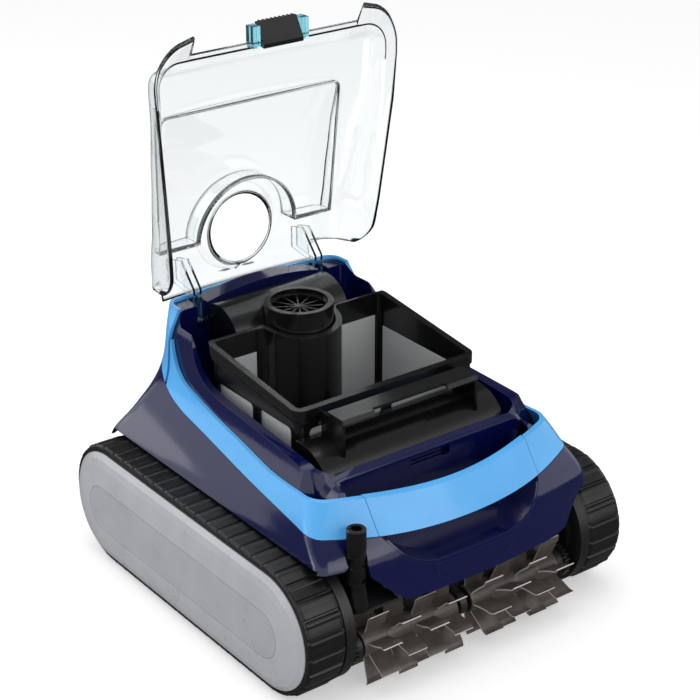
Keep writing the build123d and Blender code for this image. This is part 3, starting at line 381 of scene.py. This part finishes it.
def closed_ring(grid):
    """Mesh arrays of one surface that closes on itself both ways, from its grid (i, j, 3)."""
    rows, columns, _ = grid.shape
    index = np.arange(rows * columns).reshape(rows, columns)
    ahead = np.roll(index, -1, axis=0)
    face = np.stack([index, ahead, np.roll(ahead, -1, axis=1), np.roll(index, -1, axis=1)], axis=-1)
    return grid.reshape(-1, 3), face.reshape(-1, 4)


brush_axis_y, brush_axis_z, brush_start = -0.18125, 0.044, 0.009
sleeve_r, tip_r, root_depth, row_pitch, paddle_w = 0.0150, 0.0424, 0.001, 0.029, 0.023
rows_per_half, paddles_per_row, columns, lengths = 4, 8, 9, 21


def paddle_grid(side):
    """Front and back grids of every paddle on one half.

    u runs across a paddle and v outwards. A paddle leans along the brush as it goes out, which skews its
    outline, its last fifth is turned back as a short lip, and it is thinner towards the tip.
    """
    row, turn, u, v = np.meshgrid(np.arange(rows_per_half), np.arange(paddles_per_row),
                                  np.linspace(-0.5, 0.5, columns), np.linspace(0, 1, lengths),
                                  indexing="ij")
    lean_out, belly, lip_out, lip_share = 0.0014, 0.0010, 0.0026, 0.2
    half_thick_root, half_thick_tip = 0.0010, 0.0006
    lean = lean_out * (2 * v - 1)
    x = side * (brush_start + row_pitch / 2 + row * row_pitch + u * paddle_w + lean)
    radius = (sleeve_r - root_depth) + (tip_r - sleeve_r + root_depth) * v
    lip = np.clip((v - 1 + lip_share) / lip_share, 0, 1)
    bend = belly * np.sin(np.pi * v) + lip_out * lip ** 1.5
    half_thick = half_thick_root + (half_thick_tip - half_thick_root) * v
    angle = (turn + (row % 2) / 2) * 2 * np.pi / paddles_per_row
    sheets = []
    for off in (bend + half_thick, bend - half_thick):
        across = off * side
        y = brush_axis_y - radius * np.cos(angle) - across * np.sin(angle)
        z = brush_axis_z - radius * np.sin(angle) + across * np.cos(angle)
        sheets.append(np.stack([x, y, z], axis=-1).reshape(-1, columns, lengths, 3))
    return sheets


def sleeve_grid(side):
    """Sleeve turned round the core: out along its skin, with a groove between rows, and back inside."""
    bore_r, groove_depth, groove_share = 0.01305, 0.0006, 0.05
    s = np.linspace(0, 1, 81)
    groove = np.exp(-(((s * rows_per_half + 0.5) % 1 - 0.5) / groove_share) ** 2)
    along = brush_start + np.concatenate([s, s[::-20]]) * rows_per_half * row_pitch
    r = np.concatenate([sleeve_r - groove_depth * groove, bore_r + 0 * s[::-20]])
    t = np.linspace(0, 2 * np.pi, 48, endpoint=False)[:, None]
    return np.stack([side * along + 0 * t, brush_axis_y + r * np.cos(t), brush_axis_z + r * np.sin(t)],
                    axis=-1)


for side, name in ((-1, "left"), (1, "right")):
    paddle_points, paddle_faces, on_rim = closed_sheets(*paddle_grid(side))
    sleeve_points, sleeve_faces = closed_ring(sleeve_grid(side))
    points = np.concatenate([paddle_points, sleeve_points])
    faces = np.concatenate([paddle_faces, sleeve_faces + len(paddle_points)])
    # Faces on the paddles' rims take the painted highlight.
    pale = np.concatenate([on_rim, np.zeros(len(sleeve_faces), bool)])
    piece = place_mesh(f"{name}_brush_paddles", points, faces, [brush_tpu, painted_rim_highlight], pale)
    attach(piece, f"{name}_brush_body")
    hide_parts(f"{name}_brush_blades")
    print(piece.name, len(piece.data.polygons), "faces")

# %% [markdown]
# The lid is one thin moulding of clear plastic. Its crowned roof runs down over a rounded shoulder to a
# fold, and a narrow band flares out from the fold to the free edge. It is simplest to work out shut, as
# a height over the plan: the height climbs from the fold to the roof along a quarter of a superellipse,
# steep at the sides and nearly straight at the front. The grid's columns run from the free edge inwards,
# end at the middle or at the dish round the outlet, and are then turned up about the hinge.

# %% Surface of the clear lid
# Lengths are in millimetres, as on a drawing of the shut lid. Its outline and heights are given at
# stations from the front to the rear: half widths, and heights over the plane of the lip.
hinge_y, hinge_z, lid_turn = 155.0, 251.0, math.radians(-91)
frame_shift_y, lip_z = 7.75, 141.0
outlet_y, dish_top_r, dish_low_r, dish_low_z = 76.7, 49.0, 37.7, 279.5
front_y, corner_r, horn_x, mouth_y = -145.0, 27.0, 103.3, -150.0
rear_y, rear_corner_r, strip_half = 118, 40, 98
stations = np.array([-180, -145, -110, -60, 0, 55, 87, 118, 145])
edge_half = np.array([149.5, 149.5, 149, 145.5, 139.5, 134, 130.7, 127, 125])
edge_up = np.array([49.5, 54.2, 53.4, 54.9, 60.4, 65.7, 70.4, 82.5, 93.5])
fold_half = np.array([141.4, 141.4, 141.2, 138.8, 133.8, 129.4, 127.8, 125.6, 124])
fold_up = np.array([64, 63, 61.5, 67, 71.5, 77, 83, 92, 98])
shoulder = np.array([22, 22, 24, 40, 42, 36, 29, 27, 27])
roof_stations = [-145, -122, -75, -30, 20, 75, 118, 170]
roof_up = [104, 109, 118.5, 134, 145, 153, 154, 147]


def over_plan(x, y):
    """Height of the lid's outer surface inside the fold.

    With t the share of the shoulder that is left between the point and the roof, the height is
    foot + (roof - foot) (1 - t^p)^(1/p), where p is 2 at the sides and 1.25 at the front.
    """
    half = np.interp(y, stations, fold_half)
    foot = lip_z + np.interp(y, stations, fold_up)
    crown_fall, crown_half = 5, 96
    roof = lip_z + np.interp(y, roof_stations, roof_up) - crown_fall * (x / crown_half) ** 2
    across, ahead = np.abs(x) - (half - corner_r), (front_y + corner_r) - y
    outside = np.hypot(np.maximum(across, 0), np.maximum(ahead, 0))
    inward = corner_r - outside - np.minimum(np.maximum(across, ahead), 0)
    blend_width, front_shoulder = 40, 25
    front = np.clip((ahead - across) / blend_width + 0.5, 0, 1)
    front = front * front * (3 - 2 * front)
    reach = np.interp(y, stations, shoulder) * (1 - front) + front_shoulder * front
    power = 2.0 * (1 - front) + 1.25 * front
    left = 1 - np.clip(inward / reach, 0, 1)
    return foot + (roof - foot) * (1 - left ** power) ** (1 / power)


behind_dish = [140, 134, 129]
y_dish = outlet_y - dish_top_r * np.cos(np.linspace(np.pi, 0, 29))
y_side = np.concatenate([behind_dish, y_dish, [outlet_y - dish_top_r],
                         np.linspace(23, front_y + corner_r, 46)])
x_front = np.array([108.0, horn_x + 0.15, horn_x - 0.15, 96, 84, 72, 60, 48, 36, 24, 12, 0])


def fold_and_edge():
    """Fold and free edge of one half, from the rear to the middle of the front, as two point rows.

    Each follows the side, then a corner and then the front. The free edge runs out to a horn at the
    corner, and between the two horns it steps back to leave a mouth for the latch.
    """
    bend = np.linspace(0, np.pi / 2, 15)[1:]
    corner_x = fold_half[1] - corner_r + corner_r * np.cos(bend)
    corner_y = front_y + corner_r - corner_r * np.sin(bend)
    fold_x = np.concatenate([np.interp(y_side, stations, fold_half), corner_x, x_front])
    fold_y = np.concatenate([y_side, corner_y, np.full(len(x_front), front_y)])

    horn_middle_x, horn_middle_y, horn_wide, horn_deep, horn_ease = 120, -134, 29.5, 32, 16
    lip_x = horn_middle_x + horn_wide * np.cos(bend)
    lip_y = horn_middle_y - horn_deep * np.sin(bend) + horn_ease * (1 - bend / bend[-1])
    tip_y = horn_middle_y - horn_deep - (horn_middle_x - x_front) * 0.27
    edge_x = np.concatenate([np.interp(y_side, stations, edge_half), lip_x, x_front])
    edge_y = np.concatenate([y_side, lip_y, np.where(x_front < horn_x, mouth_y, tip_y)])
    return np.stack([fold_x, fold_y], axis=-1), np.stack([edge_x, edge_y], axis=-1)


band_share = np.linspace(0, 1, 5)[:-1]
inner_share = np.concatenate([np.linspace(0, 46, 24), [52, 60, 70, 84, 100, 139]]) / 139
dish_radii = (46.0, 42.0, dish_low_r)


def trimmed(column, y, low):
    """Column of the side, cut at the rounded rear corner, or at the strip that reaches the hinge."""
    count = len(column)
    steps = np.arange(count)
    past = min(y, rear_y) - (rear_y - rear_corner_r)
    climbed = rear_corner_r - math.sqrt(max(rear_corner_r ** 2 - past ** 2, 0))
    start = np.interp(low + climbed, column[:, 2], steps)
    start_x = np.interp(start, steps, column[:, 0])
    start_x += (strip_half - start_x) * min(max((y - 113) / 10, 0), 1)
    start = np.interp(-start_x, -column[:, 0], steps)
    place = start + (count - 1 - start) * steps / (count - 1)
    return np.column_stack([np.interp(place, steps, column[:, axis]) for axis in range(3)])


def half_lid():
    """Columns of one half of the lid (x over 0), shut: the band, the inside of the fold, the dish."""
    fold, edge = fold_and_edge()
    meeting_y, mouth_lip = -92.0, 1.0
    columns = []
    for index, ((fold_x, fold_y), (edge_x, edge_y)) in enumerate(zip(fold, edge)):
        on_side = index < len(y_side)
        past_dish = 0 <= index - len(behind_dish) < len(y_dish)
        if past_dish:
            goal = np.array([math.sqrt(max(dish_top_r ** 2 - (fold_y - outlet_y) ** 2, 0)), fold_y])
        else:
            goal = np.array([0.0, max(fold_y, meeting_y)])
        inner = np.array([fold_x, fold_y]) + inner_share[:, None] * (goal - (fold_x, fold_y))
        band = np.array([edge_x, edge_y]) + band_share[:, None] * ([fold_x - edge_x, fold_y - edge_y])
        height = over_plan(inner[:, 0], inner[:, 1])
        low = lip_z + np.interp(edge_y, stations, edge_up)
        if index > len(y_side) and fold_x < horn_x:
            low = height[0] - mouth_lip
        climb = low + (height[0] - low) * band_share ** 0.9
        column = np.concatenate([np.column_stack([band, climb]), np.column_stack([inner, height])])
        if on_side and fold_y > rear_y - rear_corner_r:
            column = trimmed(column, fold_y, low)
        angle = math.atan2(goal[0], goal[1] - outlet_y)
        for radius in dish_radii:
            drop = (dish_top_r - radius) / (dish_top_r - dish_low_r)
            ring = (radius * math.sin(angle), outlet_y + radius * math.cos(angle),
                    height[-1] + (dish_low_z - height[-1]) * drop)
            column = np.vstack([column, ring if past_dish else column[-1]])
        columns.append(column)
    return np.array(columns)


def turned_up(points):
    """Shut lid to open: a turn about the hinge, then millimetres to metres in the shared frame."""
    y, z = points[..., 1] - hinge_y, points[..., 2] - hinge_z
    cos, sin = math.cos(lid_turn), math.sin(lid_turn)
    return np.stack([points[..., 0], hinge_y + frame_shift_y + y * cos - z * sin,
                     hinge_z + y * sin + z * cos], axis=-1) / 1000


right = half_lid()
left = right * (-1, 1, 1)
faces = grid_faces(*right.shape[:2])
corners = right.reshape(-1, 3)[faces]
diagonals = corners[:, 2] - corners[:, 0], corners[:, 3] - corners[:, 1]
no_area = 1e-3
faces = faces[np.linalg.norm(np.cross(*diagonals), axis=-1) > no_area]
lid_points = np.concatenate([turned_up(right).reshape(-1, 3), turned_up(left).reshape(-1, 3)])
lid_faces = np.concatenate([faces, faces[:, ::-1] + right.size // 3])
lid_skin = place_mesh("clear_lid", lid_points, lid_faces, [clear])
wall = lid_skin.modifiers.new("wall", "SOLIDIFY")
wall.thickness, wall.offset = 0.003, -1.0
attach(lid_skin, "lid_body")
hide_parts("lid")
print("lid", right.shape, "columns and points in each half")

# %% [markdown]
# Inside the lid, a thin rib follows the canister's rim and bows round the outlet, and two pairs of
# upright arms reach down to the hinge pins. They are the same clear moulding, drawn as thin plates.

# %% Rib and hinge arms of the lid
rim_front_y, rim_front_z, rim_slope = -74.0, 246.7, 17 / 154
into_roof, web_mm = 1.5, 2.5


def bowed_line():
    """Plan of the rib: a trapezium with rounded front corners that goes round the outlet."""
    back, front, radius, bow, back_half, front_half = outlet_y, rim_front_y, 8.0, 62.0, 109, 112
    bend = np.linspace(0, np.pi / 2, 7)
    x = np.concatenate([np.linspace(bow, back_half, 7)[1:], np.linspace(back_half, front_half, 17)[1:-1],
                        front_half - radius + radius * np.cos(bend),
                        np.linspace(front_half - radius, 0, 9)[1:]])
    y = np.concatenate([np.full(6, back), np.linspace(back, front + radius, 17)[1:-1],
                        front + radius - radius * np.sin(bend), np.full(8, front)])
    around = np.linspace(0, np.pi, 41)
    x = np.concatenate([x, -x[:-1][::-1], -bow * np.cos(around)])
    y = np.concatenate([y, y[:-1][::-1], back - bow * np.sin(around)])
    return x, y


x, y = bowed_line()
low_z = rim_front_z + (y - rim_front_y) * rim_slope
high_z = over_plan(x, y) - into_roof
rows = np.linspace(0, 1, 5)[:, None]
rib = np.stack([x + 0 * rows, y + 0 * rows, low_z + (high_z - low_z) * rows], axis=-1)
index = np.arange(rib.size // 3).reshape(rib.shape[:2])
ahead = np.roll(index, -1, axis=1)
rib_faces = np.stack([index[:-1], ahead[:-1], ahead[1:], index[1:]], axis=-1).reshape(-1, 4)
lid_rib = place_mesh("clear_lid_rib", turned_up(rib).reshape(-1, 3), rib_faces, [clear])
web = lid_rib.modifiers.new("web", "SOLIDIFY")
web.thickness, web.offset = web_mm / 1000, 0.0
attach(lid_rib, "lid_body")
print("rib", rib.shape)


def arm_outlines():
    """Side outlines of the four arms, each at both faces of its plate, shaped (face, arm, point, 3).

    An outline starts under the knuckle, goes forward and up into the roof, and comes back down to a
    half circle round the pin.
    """
    hinge_middle, rib_half, knuckle_r = 79.0, 4.0, 5
    knuckle = np.linspace(np.pi / 2, -np.pi / 2, 13)
    y = np.concatenate([[118, 91, 96.0, 120, 126, 151], hinge_y + knuckle_r * np.cos(knuckle)])
    z = np.concatenate([[245, 268, 0, 0, 255, 255], hinge_z + knuckle_r * np.sin(knuckle)])
    x = (np.array([hinge_middle, -hinge_middle])[:, None] + np.array([-rib_half, rib_half])).reshape(-1, 1)
    x, y, z = np.broadcast_arrays(x, y, z)
    in_roof = z == 0
    z = np.where(in_roof, over_plan(x, y) - into_roof, z)
    face = np.array([-web_mm, web_mm])[:, None, None] / 2
    return np.stack([x + face, y + 0 * face, z + 0 * face], axis=-1)


arms = arm_outlines()
index = np.arange(arms.size // 3).reshape(arms.shape[:3])
ahead = np.roll(index, -1, axis=2)
walls = np.stack([index[0], ahead[0], ahead[1], index[1]], axis=-1).reshape(-1, 4)
cheeks = np.concatenate([index[0][:, ::-1], index[1]])
lid_arms = place_mesh("clear_lid_hinge_arms", turned_up(arms).reshape(-1, 3), [*walls, *cheeks], [clear])
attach(lid_arms, "lid_body")
print("arms", arms.shape)

# %% [markdown]
# The tread is one endless rubber band. At every pitch it has a flat pad with a raised bar along its
# leading edge and a groove before the next pad, and the pads round off towards both sides of the band.
# Fifteen pitches lie along each straight run and eleven round each wheel. The height over the band is a
# product of one profile along the track and one across it.

# %% Tread of the tracks
wheel_front_y, wheel_rear_y, wheel_z = -0.13985, 0.15535, 0.0689
band_r, band_thick, tread_out, tread_in = 0.0660, 0.0050, 0.2000, 0.1566
run_pitches, bend_pitches, steps_per_pitch = 15, 11, 20


def track_place(pitches):
    """Point and outward direction in side view, after so many pitches from the bottom's front end."""
    lap = run_pitches + bend_pitches
    back = pitches >= lap
    rest = np.where(back, pitches - lap, pitches)
    run = np.clip(rest / run_pitches, 0, 1)
    turn = np.clip((rest - run_pitches) / bend_pitches, 0, 1) * np.pi
    way = np.where(back, -1.0, 1.0)
    middle_y = (wheel_front_y + wheel_rear_y) / 2
    half = (wheel_rear_y - wheel_front_y) / 2
    centre_y = middle_y + way * half * (2 * run - 1)
    return centre_y, way * np.sin(turn), -way * np.cos(turn)


def tread_grid(side):
    """Band with its pads: a loop across the band at each of many stations along the track.

    w is the place across the band, rise the share of a pad's height there, and edge the share by which
    the band's own rim is lower than its middle.
    """
    pad_high, bar_high, edge_drop, ramp = 0.0020, 0.0009, 0.0008, 0.05
    bar_half, bar_middle = 0.13, 0.24
    count = 2 * (run_pitches + bend_pitches) * steps_per_pitch
    pitches = np.arange(count) / steps_per_pitch
    within = (pitches + 0.5) % 1
    pad = np.clip((0.5 - np.abs(within - 0.5) - ramp) / ramp, 0, 1)
    bar = np.clip((bar_half - np.abs(within - bar_middle)) / ramp, 0, 1)
    width = tread_out - tread_in
    w = np.array([0, 0, 0.012, 0.04, 0.05, 0.075, 0.12, 0.5, 0.88, 0.925, 0.95, 0.96, 0.988, 1, 1])
    rise = np.array([0, 1, 0.3, 0.3, 0.45, 0.9, 1, 1, 1, 0.9, 0.45, 0.3, 0.3, 1, 0])
    edge = np.array([1, 0.35, 0, 0, 0, 0, 0, 0, 0, 0, 0, 0, 0, 0.35, 1])
    raised = (pad_high * pad + bar_high * bar * pad)[:, None] * np.where(edge > 0, 0, rise)
    skin = band_r - edge_drop * edge + raised
    inner_w = [1, 0.5, 0]
    r = np.concatenate([skin, np.full((count, len(inner_w)), band_r - band_thick)], axis=1)
    x = side * (tread_out - np.concatenate([w, inner_w]) * width)
    y0, out_y, out_z = track_place(pitches)
    return np.stack([x + 0 * r, y0[:, None] + out_y[:, None] * r, wheel_z + out_z[:, None] * r], axis=-1)


for side, name in ((-1, "left"), (1, "right")):
    piece = place_mesh(f"{name}_tread", *closed_ring(tread_grid(side)), [tread_rubber])
    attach(piece, "hull_body")
    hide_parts(f"{name}_track_belt")
    print(piece.name, len(piece.data.polygons), "faces")

# %% [markdown]
# The studio is a white table and a white room. To the camera, and through clear plastic, both look
# white. Gloss sees a real studio instead: walls that are bright up to eye height, dimmer overhead, a
# black flag on the far right and a dark table. The flared lower flanks then pick up the walls and look
# pale, while upright and flat faces stay deep in colour, which is how glossy navy plastic is lit.

# %% The room
def where_seen(tree, lit, plain, in_gloss):
    """Blends a lit surface with plain white for camera and transmission rays, and another for gloss."""
    path = add_node(tree, "ShaderNodeLightPath")
    seen = add_node(tree, "ShaderNodeMath", {"operation": "MAXIMUM"})
    tree.links.new(path.outputs["Is Camera Ray"], seen.inputs[0])
    tree.links.new(path.outputs["Is Transmission Ray"], seen.inputs[1])
    mirrored = add_node(tree, "ShaderNodeMixShader", Fac=path.outputs["Is Glossy Ray"])
    tree.links.new(lit, mirrored.inputs[1])
    tree.links.new(in_gloss, mirrored.inputs[2])
    mix = add_node(tree, "ShaderNodeMixShader", Fac=seen.outputs[0])
    tree.links.new(mirrored.outputs[0], mix.inputs[1])
    tree.links.new(plain, mix.inputs[2])
    return mix.outputs[0]


def shaded_walls(tree):
    """Strength of the room in gloss: 1 up to 28 degrees, 0.3 above 45, and a flag 25 degrees wide."""
    ray = add_node(tree, "ShaderNodeTexCoord")
    height = add_node(tree, "ShaderNodeSeparateXYZ", Vector=ray.outputs["Generated"])
    wall = add_node(tree, "ShaderNodeMapRange", {"interpolation_type": "SMOOTHSTEP", "From Min": 0.46,
                                                 "From Max": 0.72, "To Min": 1.0, "To Max": 0.3},
                    Value=height.outputs["Z"])
    flag_direction = (0.54, 0.72, 0.43)
    towards_flag = add_node(tree, "ShaderNodeVectorMath", {"operation": "DOT_PRODUCT"},
                            Vector=ray.outputs["Generated"])
    towards_flag.inputs[1].default_value = flag_direction
    flag = add_node(tree, "ShaderNodeMapRange", {"interpolation_type": "SMOOTHSTEP", "From Min": 0.80,
                                                 "From Max": 0.94, "To Min": 1.0, "To Max": 0.1},
                    Value=towards_flag.outputs["Value"])
    both = add_node(tree, "ShaderNodeMath", {"operation": "MULTIPLY"})
    tree.links.new(wall.outputs["Result"], both.inputs[0])
    tree.links.new(flag.outputs["Result"], both.inputs[1])
    return both.outputs[0]


world = bpy.data.worlds.new("studio_room")
bpy.context.scene.world = world
world.use_nodes = True
world.node_tree.nodes.clear()
white = (1.0, 1.0, 1.0, 1.0)
soft = add_node(world.node_tree, "ShaderNodeBackground", {"Color": white, "Strength": 0.6})
bright = add_node(world.node_tree, "ShaderNodeBackground", {"Color": white, "Strength": 1.0})
walls = add_node(world.node_tree, "ShaderNodeBackground", {"Color": white},
                 Strength=shaded_walls(world.node_tree))
sky = add_node(world.node_tree, "ShaderNodeOutputWorld")
world.node_tree.links.new(where_seen(world.node_tree, soft.outputs[0], bright.outputs[0],
                                     walls.outputs[0]), sky.inputs["Surface"])
print("room ready")

# %% [markdown]
# The table's top is one big plane. Its paint reflects most of the light, and for the camera a little
# light of its own lifts it to white, so only the machine's soft shadow is left on it.

# %% The table
def floor_material():
    """Matt white paint, lifted to white for the camera but still dimmed by a shadow."""
    material, tree, shader = new_material("matt_white_paint")
    set_shader(shader, Base_Color=linear("#e9e9e9"), Roughness=0.9, IOR=1.4)
    glow = add_node(tree, "ShaderNodeEmission", {"Color": white, "Strength": 0.42})
    lifted = add_node(tree, "ShaderNodeAddShader")
    tree.links.new(shader.outputs[0], lifted.inputs[0])
    tree.links.new(glow.outputs[0], lifted.inputs[1])
    dark = add_node(tree, "ShaderNodeEmission", {"Color": white, "Strength": 0.12})
    output = next(n for n in tree.nodes if n.type == "OUTPUT_MATERIAL")
    tree.links.new(where_seen(tree, shader.outputs[0], lifted.outputs[0], dark.outputs[0]),
                   output.inputs["Surface"])
    return material


reach = 9.0
corners = np.array([(-reach, -reach, 0), (reach, -reach, 0), (reach, reach, 0), (-reach, reach, 0)])
table_mesh = bpy.data.meshes.new("table")
table_mesh.from_pydata(corners.tolist(), [], [(0, 1, 2, 3)])
table = bpy.data.objects.new("table", table_mesh)
bpy.context.collection.objects.link(table)
table_mesh.materials.append(floor_material())
print("table ready")

# %% [markdown]
# Three large softboxes light the machine: one overhead, one on the brush side and one behind. Large
# lamps close to the object give broad soft highlights on gloss, which is what shows its curves. A small
# fourth one stands low beside the left track and brightens the lower bevel of its cover.

# %% Lamps
def softbox(name, place, target, size, watts):
    """Square area lamp at place, turned so that its -Z side faces target."""
    lamp = bpy.data.lights.new(name, "AREA")
    lamp.shape, lamp.size, lamp.energy = "SQUARE", size, watts
    holder = bpy.data.objects.new(name, lamp)
    holder.location = place
    holder.rotation_euler = (Vector(target) - Vector(place)).to_track_quat("-Z", "Y").to_euler()
    bpy.context.collection.objects.link(holder)
    return holder


softbox("overhead_softbox", (-0.1, 0.1, 1.7), (0, 0, 0.15), 1.5, 8.0)
softbox("brush_side_softbox", (0.5, -1.9, 1.1), (0, 0, 0.2), 1.2, 6.0)
softbox("rear_softbox", (-1.0, 1.6, 1.2), (0, 0, 0.25), 1.2, 6.0)
softbox("low_side_softbox", (-0.95, 0.15, 0.2), (-0.2, 0.0, 0.05), 0.36, 0.9)
print("lamps ready")

# %% [markdown]
# The camera stands to the machine's left and front, a little over two metres away and looking down at
# 25 degrees, with a long lens, so the tracks look nearly parallel.

# %% Camera
lens = bpy.data.cameras.new("camera")
lens.lens, lens.sensor_width = 99.498, 36.0
lens.clip_start, lens.clip_end = 0.05, 50.0
camera = bpy.data.objects.new("camera", lens)
camera.location = (-1.0763, -1.43155, 1.0982)
aim = Vector((0.007913, 0.005937, 0.250471))
camera.rotation_euler = (aim - camera.location).to_track_quat("-Z", "Y").to_euler()
bpy.context.collection.objects.link(camera)
bpy.context.scene.camera = camera
bpy.context.scene.view_settings.view_transform = "Standard"
print("camera ready")
